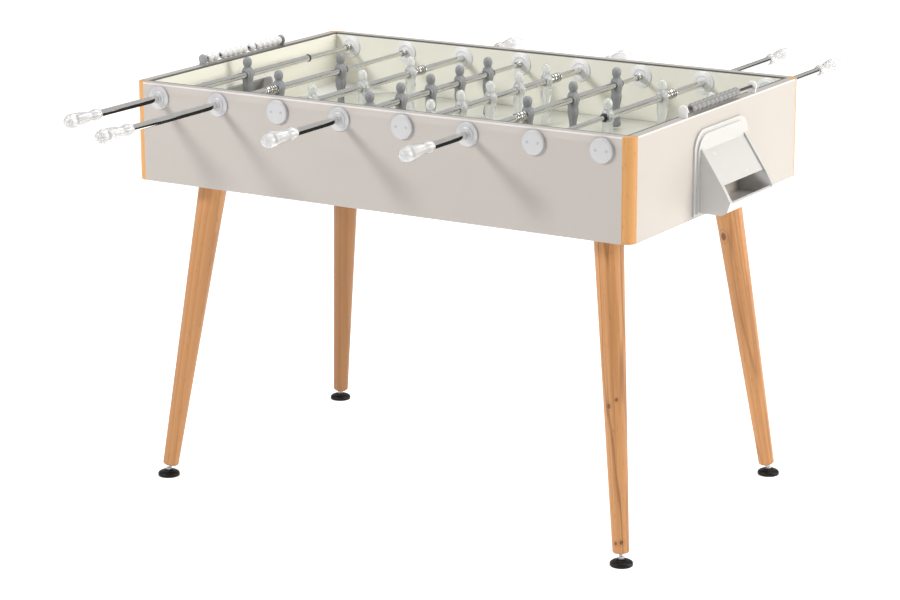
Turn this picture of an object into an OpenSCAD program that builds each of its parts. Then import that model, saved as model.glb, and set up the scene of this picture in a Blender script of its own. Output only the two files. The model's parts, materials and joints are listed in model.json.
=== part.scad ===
// Foosball table on four splayed wooden legs, with telescopic player rods.
// Millimetres. +Z up, long side along X, the front long side at -Y.
// Origin on the floor under the middle of the table.

/* [Cabinet] */
// Length over the end walls
table_l = 1178; // [1150:1:1400]
// Width over the side walls
table_w = 752; // [640:1:900]
// Height of the cabinet's top edge
table_h = 872; // [780:1:1000]
// Height of the side walls
wall_h = 209; // [190:1:250]
// Thickness of the walls
wall_t = 24; // [24:0.5:30]
// Radius of the rounded corner strips
corner_r = 22; // [18:0.5:24]

/* [Playfield] */
// Drop from the rod axis to the playing surface
rod_above_field = 96; // [90:0.5:110]
// Thickness of the playfield
field_t = 6; // [4:0.5:12]
// Length of the raised corner ramps along each wall
ramp_l = 155; // [100:1:180]
// Height of a corner ramp in the corner
ramp_h = 12; // [6:0.5:16]
// Width of each goal mouth
goal_w = 184; // [150:1:220]
// Height of each goal mouth
goal_h = 66; // [55:1:72]

/* [Player rods] */
// Distance between neighbouring rods
rod_pitch = 150; // [144:0.5:154]
// Drop from the cabinet's top edge to the rod axis
rod_drop = 29; // [28:0.5:34]
// Outer diameter of the sliding tube
tube_d = 15; // [14.6:0.1:16]
// Bore of the sliding tube
tube_bore = 12; // [11.5:0.1:12.4]
// Diameter of the fixed inner rod
inner_d = 10; // [9:0.1:10.6]
// Length of the big stop spring by the handle side
spring_l = 45; // [30:1:50]
// Length of the handle
handle_l = 106; // [96:1:130]
// Spacing of the men on a five-man rod
five_pitch = 118; // [110:1:120]
// Spacing of the men on a three-man rod
three_pitch = 190; // [170:1:200]
// Spacing of the men on a two-man rod
two_pitch = 238; // [200:1:250]
// Height of a man above the rod axis
head_up = 38; // [34:0.5:38.5]
// Gap between the men's feet and the playing surface
foot_gap = 4; // [3:0.5:8]

/* [Legs and feet] */
// Distance from the middle of a foot to the cabinet's end
foot_end = 32; // [10:1:80]
// Distance from the middle of a foot to the cabinet's long side
foot_side = 38; // [16:1:80]
// Lean of the legs for each millimetre of height
leg_lean = 0.124; // [0.05:0.002:0.15]
// Diameter of a leg at its lower end
leg_low_d = 34; // [28:0.5:44]
// Diameter of a leg at its upper end
leg_top_d = 65; // [52:0.5:75]
// Diameter of the levelling pads
pad_d = 47; // [36:0.5:60]

/* [Hidden] */
$fn = 48;
fit = 0.05;
gap = 0.3;
eps = 0.01;

// walls, from the middle outwards
half_l = table_l / 2;
half_w = table_w / 2;
in_x = half_l - wall_t;
in_y = half_w - wall_t;
wall_z = table_h - wall_h;
rebate = wall_t - corner_r;
rod_z = table_h - rod_drop;
field_z = rod_z - rod_above_field;
cap_t = 3;

// underframe
board_t = 12;
board_z = wall_z + 17;
batten_w = 20;
plate_w = 110;
plate_t = 5;
leg_top_z = board_z - plate_t;
leg_low_z = 25;
leg_round_r = 3;
// length of a leg for each millimetre of height
leg_slant = sqrt(1 + 2 * leg_lean * leg_lean);
// how far a leg's cone is drawn past the cut at its top
leg_over = 75;
foot_x = half_l - foot_end;
foot_y = half_w - foot_side;
plate_x = foot_x - leg_lean * leg_top_z;
plate_y = foot_y - leg_lean * leg_top_z;
screw_out = 44;
screw_d = 5;
screw_head_d = 9;
screw_head_t = 2.5;
hanger_d = 10;
hanger_l = 55;
hanger_cover = 16;
stud_d = 8;
stud_l = 58;
stud_hole_l = 70;
pad_h = 14;

// rods
rods = 8;
men_on = [1, 2, 3, 5, 5, 3, 2, 1];
// side of the handle, -1 for the front of the table
hand_side = [-1, -1, 1, -1, 1, -1, 1, 1];
// how far each rod has been pulled towards its handle
pulled = [58, 37, -60, 28, -35, -49, 41, 85];
// from the outer wall face to the handle, with the men in the middle
grip_out = [145, 256, 183, 130, 130, 183, 256, 145];
man_w = 24;
man_hub_d = tube_d + 11;
bush_d = tube_d + 13;
flange_d = 50;
flange_t = 6;
// steps of the open bearing outside the wall: diameter, start and end
open_steps = [[flange_d, 0, 5], [tube_d + 19, 5, 9], [tube_d + 9, 9, 13]];
closed_cap_t = 8;
collar_d = inner_d + 5;
collar_t = 4;
cap_cavity_d = collar_d + 2;
dimple_out = 12;
dimple_d = 4;
dimple_t = 1.5;
spring_d = tube_d + 5;
small_spring_l = 18;
small_spring_d = inner_d + 5;
end_ring_l = 5;
end_ring_d = tube_d + 2;
end_plug_l = 14;
inner_tip = 160;
guide_l = 12;
grip_depth = 75;
goalie_reach = 211;
goalie_tail = 230;

// goal liners and ball boxes
liner_t = 3;
liner_lip = 5;
goal_r = 14;
box_w = goal_w + 54;
box_low = 79;
box_high = 93;
box_r = 40;
box_step_t = 4;
box_step_in = 9;
cheek_in = goal_w / 2;
cheek_out = cheek_in + 10;
hood_drop = 4;
hood_t = 3;
ball_drop = 62;

// scorers
score_x = half_l - 12;
score_z = table_h + 13;
score_rod_d = 6;
bead_l = 18.8;
bead_step = 19.1;
bead_d = 19;

steel = [0.78, 0.78, 0.80];
chrome = [0.86, 0.87, 0.89];
white = [0.93, 0.93, 0.91];
cream = [0.88, 0.87, 0.80];
beech = [0.80, 0.62, 0.42];
grey = [0.55, 0.56, 0.57];
pale = [0.80, 0.82, 0.82];
dark = [0.12, 0.12, 0.13];
ice = [0.85, 0.90, 0.92];
sage = [0.74, 0.75, 0.69];

// ---- shared shapes ----

function rod_x(n) = (n - (rods + 1) / 2) * rod_pitch;

function man_pitch(n) = men_on[n - 1] == 5 ? five_pitch
  : men_on[n - 1] == 3 ? three_pitch
  : two_pitch;

// distance from the middle of the team to its last man
function outer_man(n) = (men_on[n - 1] - 1) / 2 * man_pitch(n);

// where the big spring starts, on the handle side of the men
function spring_at(n) = men_on[n - 1] == 1 ? goalie_reach
  : outer_man(n) + man_w / 2;

// where the tube ends, on the far side of the men
function tail_at(n) = men_on[n - 1] == 1 ? goalie_tail
  : outer_man(n) + man_w / 2;

// where the handle starts, with the men in the middle
function grip_at(n) = half_w + grip_out[n - 1];

// puts its children on rod n, with +Z running along the rod to the handle
module on_rod(n) {
  translate([rod_x(n), 0, rod_z])
    rotate([hand_side[n - 1] < 0 ? 90 : -90, 0, 0]) children();
}

module box(x0, x1, y0, y1, z0, z1) {
  translate([x0, y0, z0]) cube([x1 - x0, y1 - y0, z1 - z0]);
}

module tube(d, bore, z0, z1) {
  translate([0, 0, z0]) difference() {
    cylinder(d = d, h = z1 - z0);
    translate([0, 0, -1]) cylinder(d = bore, h = z1 - z0 + 2);
  }
}

// a closed-wound coil spring as a ridged sleeve
module spring(d, bore, z0, len, turns) {
  step = len / turns;
  ridge = [for (i = [0 : turns - 1])
    each [[d / 2 - 1.2, i * step], [d / 2, (i + 0.35) * step],
      [d / 2, (i + 0.65) * step], [d / 2 - 1.2, (i + 1) * step - eps]]];
  translate([0, 0, z0]) rotate_extrude()
    polygon(concat([[bore / 2, 0]], ridge, [[bore / 2, len]]));
}

// ---- cabinet ----

// the holes the rod bearings sit in
module bearing_holes() {
  for (n = [1 : rods])
    translate([rod_x(n), 0, rod_z]) rotate([90, 0, 0])
      cylinder(d = bush_d, h = table_w + 2, center = true);
}

module side_wall() {
  difference() {
    box(-half_l + corner_r, half_l - corner_r, in_y, half_w, wall_z, table_h - cap_t);
    bearing_holes();
  }
}

module near_side() {
  color(white) mirror([0, 1, 0]) side_wall();
}

module far_side() {
  color(white) side_wall();
}

module goal_outline(grow) {
  r = goal_r;
  x = goal_w / 2 + grow;
  h = goal_h + grow;
  translate([-x, -1 - grow]) square([2 * x, h + 1 + grow - r]);
  translate([-x + r, -1]) square([2 * (x - r), h + 1]);
  for (s = [-1, 1]) translate([s * (x - r), h - r]) circle(r = r);
}

// a prism on the goal outline, running along X
module goal_prism(grow, x0, x1) {
  translate([x0, 0, field_z]) rotate([90, 0, 90])
    linear_extrude(x1 - x0) goal_outline(grow);
}

module end_wall() {
  difference() {
    box(in_x, half_l, -half_w + corner_r, half_w - corner_r, wall_z, table_h - cap_t);
    for (s = [-1, 1])
      box(in_x - 1, half_l - corner_r, s < 0 ? -half_w : in_y,
        s < 0 ? -in_y : half_w, wall_z - 1, table_h);
    goal_prism(liner_t, in_x - 1, half_l + 1);
  }
}

module left_end() {
  color(white) mirror([1, 0, 0]) end_wall();
}

module right_end() {
  color(white) end_wall();
}

module corner_strips() {
  color(beech)
    for (sx = [-1, 1], sy = [-1, 1])
      translate([sx * (half_l - corner_r), sy * (half_w - corner_r), wall_z])
        intersection() {
          cylinder(r = corner_r, h = wall_h);
          translate([sx < 0 ? -corner_r : 0, sy < 0 ? -corner_r : 0, 0])
            cube([corner_r, corner_r, wall_h]);
        }
}

// thin caps along the top edges of the four walls
module rim_trim() {
  color(pale) {
    for (s = [-1, 1]) {
      box(-half_l + corner_r, half_l - corner_r, s < 0 ? -half_w : in_y,
        s < 0 ? -in_y : half_w, table_h - cap_t, table_h);
      box(s < 0 ? -half_l : in_x, s < 0 ? -in_x : half_l, -in_y, in_y,
        table_h - cap_t, table_h);
    }
  }
}

module underframe() {
  color(cream) {
    box(-in_x, in_x, -in_y, in_y, board_z, board_z + board_t);
    for (s = [-1, 1]) {
      box(-in_x, in_x, s < 0 ? -in_y : in_y - batten_w,
        s < 0 ? -in_y + batten_w : in_y, board_z + board_t, field_z - field_t);
      box(s < 0 ? -in_x : in_x - batten_w, s < 0 ? -in_x + batten_w : in_x,
        -in_y + batten_w, in_y - batten_w, board_z + board_t, field_z - field_t);
    }
    box(-in_x + batten_w, in_x - batten_w, -batten_w / 2, batten_w / 2,
      board_z + board_t, field_z - field_t);
  }
}

module playfield() {
  color(sage) box(-in_x, in_x, -in_y, in_y, field_z - field_t, field_z);
}

// a wedge in each corner, highest against the corner, with a thin toe
module field_ramps() {
  toe = 1;
  color(cream)
    for (sx = [-1, 1], sy = [-1, 1])
      translate([sx * in_x, sy * in_y, field_z])
        polyhedron(
          points = [for (z = [[0, 0], [ramp_h, toe]])
            each [[0, 0, z[0]], [-sx * ramp_l, 0, z[1]], [0, -sy * ramp_l, z[1]]]],
          faces = sx * sy > 0
            ? [[0, 1, 2], [3, 5, 4], [0, 3, 4, 1], [1, 4, 5, 2], [2, 5, 3, 0]]
            : [[0, 2, 1], [3, 4, 5], [0, 1, 4, 3], [1, 2, 5, 4], [2, 0, 3, 5]]);
}

// ---- goals ----

module goal_liners() {
  color(grey)
    for (s = [0, 1]) mirror([s, 0, 0])
      difference() {
        union() {
          goal_prism(liner_t, in_x, half_l);
          intersection() {
            goal_prism(liner_t + liner_lip, in_x - 2, in_x);
            box(in_x - 3, in_x + 1, -goal_w, goal_w, field_z, table_h);
          }
        }
        goal_prism(0, in_x - 3, half_l + 1);
        box(in_x - 3, half_l + 1, -goal_w, goal_w, field_z - 20, field_z - 3);
      }
}

// outline of the hood seen from the end: X from the wall, Y from the field up
module hood_outline(inset) {
  offset(delta = -inset)
    polygon([[-30, 61], [4, 61], [12, 53], [58, -16], [75, -46],
      [68, -66], [56, -73], [-30, -73]]);
}

// a slice of the hood's outline between two places across the table
module hood_slice(inset, y0, y1) {
  across(y0, y1) intersection() {
    hood_outline(inset);
    translate([0, -100]) square([100, 200]);
  }
}

// runs an outline drawn from the end wall and the field across the table
module across(y0, y1) {
  translate([half_l, y1, field_z]) rotate([90, 0, 0]) linear_extrude(y1 - y0) children();
}

// step k of the plate that lies on the end wall
module box_plate(k) {
  w = box_w / 2 - k * box_step_in;
  low = -box_low + k * box_step_t;
  high = box_high - k * box_step_in;
  translate([half_l + k * box_step_t, 0, field_z]) rotate([90, 0, 90])
    linear_extrude(box_step_t) {
      translate([-w, low]) square([2 * w, high - low - box_r]);
      translate([-w + box_r, low]) square([2 * (w - box_r), high - low]);
      for (q = [-1, 1]) translate([q * (w - box_r), high - box_r]) circle(r = box_r);
    }
}

module ball_boxes() {
  color(white)
    for (s = [0, 1]) mirror([s, 0, 0])
      difference() {
        union() {
          for (k = [0, 1]) box_plate(k);
          // two cheeks, and the hood and tray set back between them
          hood_slice(0, -cheek_out, -cheek_in);
          hood_slice(0, cheek_in, cheek_out);
          hood_slice(hood_drop, -cheek_in, cheek_in);
          // the scoop's lip comes out to the cheeks' edge
          across(-cheek_in, cheek_in)
            polygon([[58, -71], [68, -66], [74, -48], [70, -47], [60, -63]]);
        }
        // the space the ball drops into
        intersection() {
          hood_slice(hood_drop + hood_t, -cheek_in, cheek_in);
          across(-cheek_in, cheek_in)
            translate([-1, -ball_drop]) square([121, ball_drop + 200]);
        }
        // the finger opening between hood and tray
        across(-cheek_in, cheek_in)
          polygon([[46, -17], [56, -14], [90, -27], [90, -46], [69, -46], [58, -57]]);
      }
}

// ---- legs and feet ----

// puts its children on leg k with +Z running up the leg
module on_leg(sx, sy) {
  lean = atan(leg_lean * sqrt(2));
  translate([sx * foot_x, sy * foot_y, 0])
    rotate([0, 0, atan2(-sy, -sx)]) rotate([0, lean, 0]) children();
}

module leg(sx, sy) {
  low = leg_low_z;
  len = leg_top_z * leg_slant + leg_over;
  color(beech) difference() {
    on_leg(sx, sy) rotate_extrude() {
      polygon([[0, low], [leg_low_d / 2 - leg_round_r, low],
        [leg_low_d / 2, low + leg_round_r], [leg_top_d / 2, len], [0, len]]);
    }
    translate([sx * foot_x, sy * foot_y, leg_top_z + 200])
      cube([900, 900, 400], center = true);
    on_leg(sx, sy) cylinder(d = stud_d, h = stud_hole_l);
    hanger(sx, sy);
  }
}

// the bolt that holds a leg up, along the leg's axis
module hanger(sx, sy) {
  top = (board_z + board_t) * leg_slant;
  on_leg(sx, sy) translate([0, 0, top - hanger_l - hanger_cover])
    cylinder(d = hanger_d, h = hanger_l);
}

module leg_front_left() { leg(-1, -1); }
module leg_front_right() { leg(1, -1); }
module leg_back_left() { leg(-1, 1); }
module leg_back_right() { leg(1, 1); }

module leg_plates() {
  color(steel) for (sx = [-1, 1], sy = [-1, 1]) {
    difference() {
      translate([sx * plate_x, sy * plate_y, leg_top_z + plate_t / 2])
        cube([plate_w, plate_w, plate_t], center = true);
      at_screws(sx, sy) translate([0, 0, -1]) cylinder(d = screw_d, h = plate_t + 4);
      hanger(sx, sy);
    }
    intersection() {
      hanger(sx, sy);
      translate([sx * plate_x, sy * plate_y, board_z - 50])
        cube([200, 200, 100], center = true);
    }
  }
}

// puts its children at the four screws of a leg plate, on its underside
module at_screws(sx, sy) {
  for (ix = [-1, 1], iy = [-1, 1])
    translate([sx * plate_x + ix * screw_out, sy * plate_y + iy * screw_out, leg_top_z])
      children();
}

module foot(sx, sy) {
  color(dark)
    translate([sx * foot_x, sy * foot_y, 0]) rotate_extrude()
      polygon([[0, 0], [pad_d / 2 - 1, 0], [pad_d / 2, 1], [pad_d / 2, pad_h / 2],
        [pad_d / 2 - 6, pad_h - 2], [9, pad_h], [0, pad_h]]);
  color(steel) difference() {
    on_leg(sx, sy) cylinder(d = stud_d - 2 * fit, h = stud_l);
    translate([sx * foot_x, sy * foot_y, pad_h - 50]) cube([100, 100, 100], center = true);
  }
}

module foot_front_left() { foot(-1, -1); }
module foot_front_right() { foot(1, -1); }
module foot_back_left() { foot(-1, 1); }
module foot_back_right() { foot(1, 1); }

// ---- rods ----

// handle-side bearing: a sleeve in two flanged halves
module open_bearing() {
  bore = tube_d + 2 * fit;
  tube(bush_d, bore, in_y, half_w);
  tube(flange_d, bore, in_y - flange_t, in_y);
  for (step = open_steps) tube(step[0], bore, half_w + step[1], half_w + step[2]);
}

// closed bearing: holds the inner rod and hides its collar
module closed_bearing() {
  bore = inner_d + 2 * fit;
  rotate([180, 0, 0]) {
    tube(bush_d, bore, in_y, half_w);
    tube(flange_d, bore, in_y - flange_t, in_y);
    difference() {
      translate([0, 0, half_w]) cylinder(d = flange_d, h = closed_cap_t);
      translate([0, 0, half_w - 1]) cylinder(d = cap_cavity_d, h = collar_t + 1.6);
      for (s = [-1, 1])
        translate([s * dimple_out, 0, half_w + closed_cap_t - dimple_t])
          cylinder(d = dimple_d, h = dimple_t + 1);
    }
  }
}

module rod_bearings() {
  color(white) for (n = [1 : rods]) on_rod(n) {
    open_bearing();
    closed_bearing();
  }
}

module rod_inner(n) {
  tip = inner_tip;
  on_rod(n) {
    color(chrome) translate([0, 0, -half_w - 0.2])
      cylinder(d = inner_d, h = half_w + 0.2 + tip);
    color(chrome) translate([0, 0, -half_w - 0.2 - collar_t + gap])
      cylinder(d = collar_d, h = collar_t - gap);
    color(dark) tube(tube_bore - 2 * fit, inner_d + 2 * fit, tip - guide_l, tip);
    color(steel) spring(small_spring_d, inner_d + 2 * fit, -in_y + flange_t + gap,
      small_spring_l, 5);
  }
}

module rod_tube(n) {
  c = pulled[n - 1];
  tail = c - tail_at(n);
  on_rod(n) {
    color(chrome) tube(tube_d, tube_bore, tail - 1, c + grip_at(n) + grip_depth);
    color(dark) {
      tube(end_ring_d, inner_d + 2 * fit, tail - 1 - end_ring_l, tail - 1 - fit);
      tube(tube_bore - 2 * fit, inner_d + 2 * fit, tail - 1 - fit - eps,
        tail - 1 + end_plug_l);
    }
    color(steel) spring(spring_d, tube_d + 2 * fit, c + spring_at(n), spring_l, 6);
  }
}

// one man on the origin, with the rod along Y and the head up
module man() {
  foot_z = -(rod_above_field - foot_gap);
  difference() {
    union() {
      rotate_extrude()
        polygon([[0, 12], [5.5, 13], [4.8, 17], [8.6, 25], [9, 30],
          [7, head_up - 3.5], [3, head_up - 0.5], [0, head_up]]);
      intersection() {
        rotate([90, 0, 90]) linear_extrude(40, center = true)
          polygon([[-5, 17], [-12, 11], [-12, -6], [-9.5, -16], [-11, -26],
            [-7.5, foot_z + 14], [-8.5, foot_z], [8.5, foot_z],
            [7.5, foot_z + 14], [11, -26], [9.5, -16], [12, -6],
            [12, 11], [5, 17]]);
        rotate([90, 0, 0]) linear_extrude(40, center = true)
          polygon([[-5, 17], [-8, 10], [-9, -10], [-7, -20], [-6, foot_z + 22],
            [-11, foot_z + 10], [-10, foot_z], [10, foot_z],
            [11, foot_z + 10], [6, foot_z + 22], [7, -20], [9, -10],
            [8, 10], [5, 17]]);
      }
      rotate([90, 0, 0]) cylinder(d = man_hub_d, h = man_w, center = true);
    }
    rotate([90, 0, 0]) cylinder(d = tube_d, h = man_w + 2, center = true);
  }
}

module rod_men(n) {
  count = men_on[n - 1];
  colour = hand_side[n - 1] < 0 ? grey : ice;
  color(colour)
    for (i = [0 : count - 1])
      translate([rod_x(n), hand_side[n - 1] * pulled[n - 1]
        + (i - (count - 1) / 2) * man_pitch(n), rod_z]) man();
}

module rod_handle(n) {
  ring_r = tube_d / 2 + 2.3;
  color(ice) on_rod(n) translate([0, 0, pulled[n - 1] + grip_at(n)]) difference() {
    rotate_extrude()
      polygon([[0, 0], [ring_r, 0], [ring_r, 6], [ring_r + 2.8, 11.5],
        [ring_r + 2.9, 15], [ring_r + 0.6, 26], [ring_r + 0.2, 33],
        [ring_r + 2.6, 48], [ring_r + 4.6, 64], [ring_r + 5.6, 78],
        [ring_r + 5.4, handle_l - 16], [ring_r + 3.2, handle_l - 7],
        [ring_r - 1.8, handle_l - 1.5], [0, handle_l]]);
    translate([0, 0, -1]) cylinder(d = tube_d, h = grip_depth + 1);
  }
}

module rod_1_inner() { rod_inner(1); }
module rod_2_inner() { rod_inner(2); }
module rod_3_inner() { rod_inner(3); }
module rod_4_inner() { rod_inner(4); }
module rod_5_inner() { rod_inner(5); }
module rod_6_inner() { rod_inner(6); }
module rod_7_inner() { rod_inner(7); }
module rod_8_inner() { rod_inner(8); }
module rod_1_tube() { rod_tube(1); }
module rod_2_tube() { rod_tube(2); }
module rod_3_tube() { rod_tube(3); }
module rod_4_tube() { rod_tube(4); }
module rod_5_tube() { rod_tube(5); }
module rod_6_tube() { rod_tube(6); }
module rod_7_tube() { rod_tube(7); }
module rod_8_tube() { rod_tube(8); }
module rod_1_men() { rod_men(1); }
module rod_2_men() { rod_men(2); }
module rod_3_men() { rod_men(3); }
module rod_4_men() { rod_men(4); }
module rod_5_men() { rod_men(5); }
module rod_6_men() { rod_men(6); }
module rod_7_men() { rod_men(7); }
module rod_8_men() { rod_men(8); }
module rod_1_handle() { rod_handle(1); }
module rod_2_handle() { rod_handle(2); }
module rod_3_handle() { rod_handle(3); }
module rod_4_handle() { rod_handle(4); }
module rod_5_handle() { rod_handle(5); }
module rod_6_handle() { rod_handle(6); }
module rod_7_handle() { rod_handle(7); }
module rod_8_handle() { rod_handle(8); }

// ---- scorers ----

// one bracket standing on the end wall, with the scorer rod's hole
module score_bracket(y) {
  translate([score_x, y, 0]) difference() {
    union() {
      box(-9, 9, -2.5, 2.5, table_h, score_z);
      translate([0, 0, score_z]) rotate([90, 0, 0])
        cylinder(d = 22, h = 5, center = true);
    }
    translate([0, 0, score_z]) rotate([90, 0, 0])
      cylinder(d = score_rod_d + 2 * fit, h = 8, center = true);
  }
}

module score_rails() {
  mirror([1, 0, 0]) {
    color(grey) {
      score_bracket(-149);
      score_bracket(146);
    }
    color(dark) translate([score_x, 148.5, score_z]) rotate([90, 0, 0])
      cylinder(d = score_rod_d, h = 300);
  }
  color(white) {
    score_bracket(-142);
    score_bracket(167);
  }
  color(dark) translate([score_x, 169.5, score_z]) rotate([90, 0, 0])
    cylinder(d = score_rod_d, h = 314);
}

// a row of ribbed beads starting at y
module beads(x, y, count) {
  for (i = [0 : count - 1])
    translate([x, y + i * bead_step, score_z]) rotate([-90, 0, 0])
      rotate_extrude() polygon([[score_rod_d / 2 + gap, 0], [bead_d / 2 - 3, 0],
        [bead_d / 2, 5], [bead_d / 2, bead_l - 5], [bead_d / 2 - 3, bead_l],
        [score_rod_d / 2 + gap, bead_l]]);
}

module beads_left_1() { color(white) beads(-score_x, -136, 2); }
module beads_left_2() { color(white) beads(-score_x, -86, 5); }
module beads_left_3() { color(white) beads(-score_x, 21, 1); }
module beads_left_4() { color(white) beads(-score_x, 46, 5); }
module beads_right() { color(grey) beads(score_x, -111, 11); }

// ---- screws ----

module fasteners() {
  // leg plates to the bottom board
  color(steel) for (sx = [-1, 1], sy = [-1, 1]) at_screws(sx, sy) {
    translate([0, 0, -screw_head_t]) cylinder(d = screw_head_d, h = screw_head_t);
    cylinder(d = screw_d, h = plate_t);
  }
}

near_side();
far_side();
left_end();
right_end();
underframe();
playfield();
field_ramps();
corner_strips();
rim_trim();
goal_liners();
ball_boxes();
leg_plates();
leg_front_left();
leg_front_right();
leg_back_left();
leg_back_right();
foot_front_left();
foot_front_right();
foot_back_left();
foot_back_right();
rod_bearings();
score_rails();
beads_left_1();
beads_left_2();
beads_left_3();
beads_left_4();
beads_right();
fasteners();
rod_1_inner();
rod_2_inner();
rod_3_inner();
rod_4_inner();
rod_5_inner();
rod_6_inner();
rod_7_inner();
rod_8_inner();
rod_1_tube();
rod_2_tube();
rod_3_tube();
rod_4_tube();
rod_5_tube();
rod_6_tube();
rod_7_tube();
rod_8_tube();
rod_1_men();
rod_2_men();
rod_3_men();
rod_4_men();
rod_5_men();
rod_6_men();
rod_7_men();
rod_8_men();
rod_1_handle();
rod_2_handle();
rod_3_handle();
rod_4_handle();
rod_5_handle();
rod_6_handle();
rod_7_handle();
rod_8_handle();
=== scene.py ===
"""Looks of a foosball table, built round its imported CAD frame. Metres, +Z up."""

import json
import math

import bmesh
import bpy
from mathutils import Matrix, Vector


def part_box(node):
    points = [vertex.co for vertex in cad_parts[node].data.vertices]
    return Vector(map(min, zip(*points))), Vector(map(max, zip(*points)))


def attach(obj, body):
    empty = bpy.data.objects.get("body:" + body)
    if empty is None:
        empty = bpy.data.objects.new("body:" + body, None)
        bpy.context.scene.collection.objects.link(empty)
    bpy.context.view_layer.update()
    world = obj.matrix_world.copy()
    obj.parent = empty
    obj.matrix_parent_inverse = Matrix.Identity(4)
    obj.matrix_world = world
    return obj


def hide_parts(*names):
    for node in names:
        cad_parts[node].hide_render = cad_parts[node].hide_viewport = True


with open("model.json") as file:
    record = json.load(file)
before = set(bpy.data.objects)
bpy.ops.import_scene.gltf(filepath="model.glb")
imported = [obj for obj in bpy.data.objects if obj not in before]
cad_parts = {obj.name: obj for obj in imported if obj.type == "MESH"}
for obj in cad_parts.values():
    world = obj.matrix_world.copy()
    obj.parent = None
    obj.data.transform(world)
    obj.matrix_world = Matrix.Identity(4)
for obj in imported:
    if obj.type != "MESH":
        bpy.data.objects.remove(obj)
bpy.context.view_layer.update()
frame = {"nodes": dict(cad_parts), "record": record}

MM = 0.001
RODS = range(1, 9)
JOINTS = {j["name"]: j for j in frame["record"]["behaviour"]["joints"]}
MEN_ON = {1: 1, 2: 2, 3: 3, 4: 5, 5: 5, 6: 3, 7: 2, 8: 1}
FEET = {
    "front_left": (-1, -1),
    "front_right": (1, -1),
    "back_left": (-1, 1),
    "back_right": (1, 1),
}
MOUNTS = {m["name"]: Vector(m["pos_m"]) for m in frame["record"]["mounts"]}
FOOT_CENTRE = MOUNTS["foot_back_right"]
LEG_LEAN = math.atan(0.124)
INNER = Vector(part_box("playfield")[1])

# the rods' radii and the men's hubs, metres
ROD_R = 0.005
TUBE_BORE = 0.006
TUBE_R = 0.0075
HUB_HALF = 0.012
RUNNING_GAP = 0.0001


# ---------------------------------------------------------------- camera

CAMERA_PLACE = Vector((3.10404, -5.15518, 1.97653))
CAMERA_YAW, CAMERA_PITCH, CAMERA_ROLL = 0.5485, -0.2574, -0.0027

camera_data = bpy.data.cameras.new("camera")
camera_data.sensor_width = 36
camera_data.lens = 116.26
camera_data.clip_end = 60
camera = bpy.data.objects.new("camera", camera_data)
camera.matrix_world = (
    Matrix.Translation(CAMERA_PLACE)
    @ Matrix.Rotation(CAMERA_YAW, 4, "Z")
    @ Matrix.Rotation(math.pi / 2 + CAMERA_PITCH, 4, "X")
    @ Matrix.Rotation(CAMERA_ROLL, 4, "Z")
)
bpy.context.scene.collection.objects.link(camera)
bpy.context.scene.camera = camera


# ---------------------------------------------------------------- shading

class Wire:
    """A node's output that takes part in Python expressions as a number."""

    def __init__(self, paint, socket):
        self.paint, self.socket = paint, socket

    def _math(self, operation, *values):
        return self.paint.node(
            "ShaderNodeMath", {"operation": operation}, dict(enumerate(values))
        )

    def __add__(self, other):
        return self._math("ADD", self, other)

    __radd__ = __add__

    def __sub__(self, other):
        return self._math("SUBTRACT", self, other)

    def __rsub__(self, other):
        return self._math("SUBTRACT", other, self)

    def __mul__(self, other):
        return self._math("MULTIPLY", self, other)

    __rmul__ = __mul__

    def __lt__(self, other):
        return self._math("LESS_THAN", self, other)

    def __abs__(self):
        return self._math("ABSOLUTE", self)

    def clamp(self):
        """Held between 0 and 1."""
        return self.paint.node("ShaderNodeClamp", {}, {"Value": self, "Min": 0.0, "Max": 1.0})

    def ramp(self, low, high):
        """0 at low, 1 at high, straight between them."""
        return self.paint.node(
            "ShaderNodeMapRange",
            {},
            {"Value": self, "From Min": low, "From Max": high, "To Min": 0.0, "To Max": 1.0},
        )


class Paint:
    """A material and its nodes."""

    def __init__(self, name, **constants):
        self.material = bpy.data.materials.new(name)
        self.material.use_nodes = True
        self.tree = self.material.node_tree
        self.shader = self.tree.nodes["Principled BSDF"]
        for socket, value in constants.items():
            self.shader.inputs[socket.replace("_", " ")].default_value = value

    def node(self, kind, settings, values, out=0):
        """Adds a node: its settings first, then its sockets' values or links."""
        made = self.tree.nodes.new(kind)
        for key, value in settings.items():
            setattr(made, key, value)
        for key, value in values.items():
            if isinstance(value, Wire):
                self.tree.links.new(value.socket, made.inputs[key])
            else:
                made.inputs[key].default_value = value
        return Wire(self, made.outputs[out])

    def place(self, turn=(0, 0, 0), scale=(1, 1, 1), shift=(0, 0, 0)):
        """Object coordinates, shifted, turned and stretched."""
        where = self.node("ShaderNodeTexCoord", {}, {}, "Object")
        return self.node(
            "ShaderNodeMapping",
            {"vector_type": "POINT"},
            {"Vector": where, "Location": shift, "Rotation": turn, "Scale": scale},
        )

    def parts(self, vector):
        """The three numbers of a vector."""
        split = self.node("ShaderNodeSeparateXYZ", {}, {"Vector": vector})
        return [Wire(self, out) for out in split.socket.node.outputs]

    def noise(self, vector, scale, detail, rough=0.5):
        return self.node(
            "ShaderNodeTexNoise",
            {},
            {"Vector": vector, "Scale": scale, "Detail": detail, "Roughness": rough},
        )

    def blend(self, factor, first, second):
        """A colour between two colours."""
        if not isinstance(first, Wire):
            first = (*first, 1.0)
        if not isinstance(second, Wire):
            second = (*second, 1.0)
        return self.node(
            "ShaderNodeMix",
            {"data_type": "RGBA"},
            {0: factor, 6: first, 7: second},
            2,
        )

    def bump(self, height, distance, strength):
        values = {"Height": height, "Distance": distance, "Strength": strength}
        return self.node("ShaderNodeBump", {}, values)

    def set(self, **sockets):
        """Links patterns to the shader's sockets and gives the material."""
        for socket, value in sockets.items():
            self.tree.links.new(
                value.socket, self.shader.inputs[socket.replace("_", " ")]
            )
        return self.material


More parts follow.
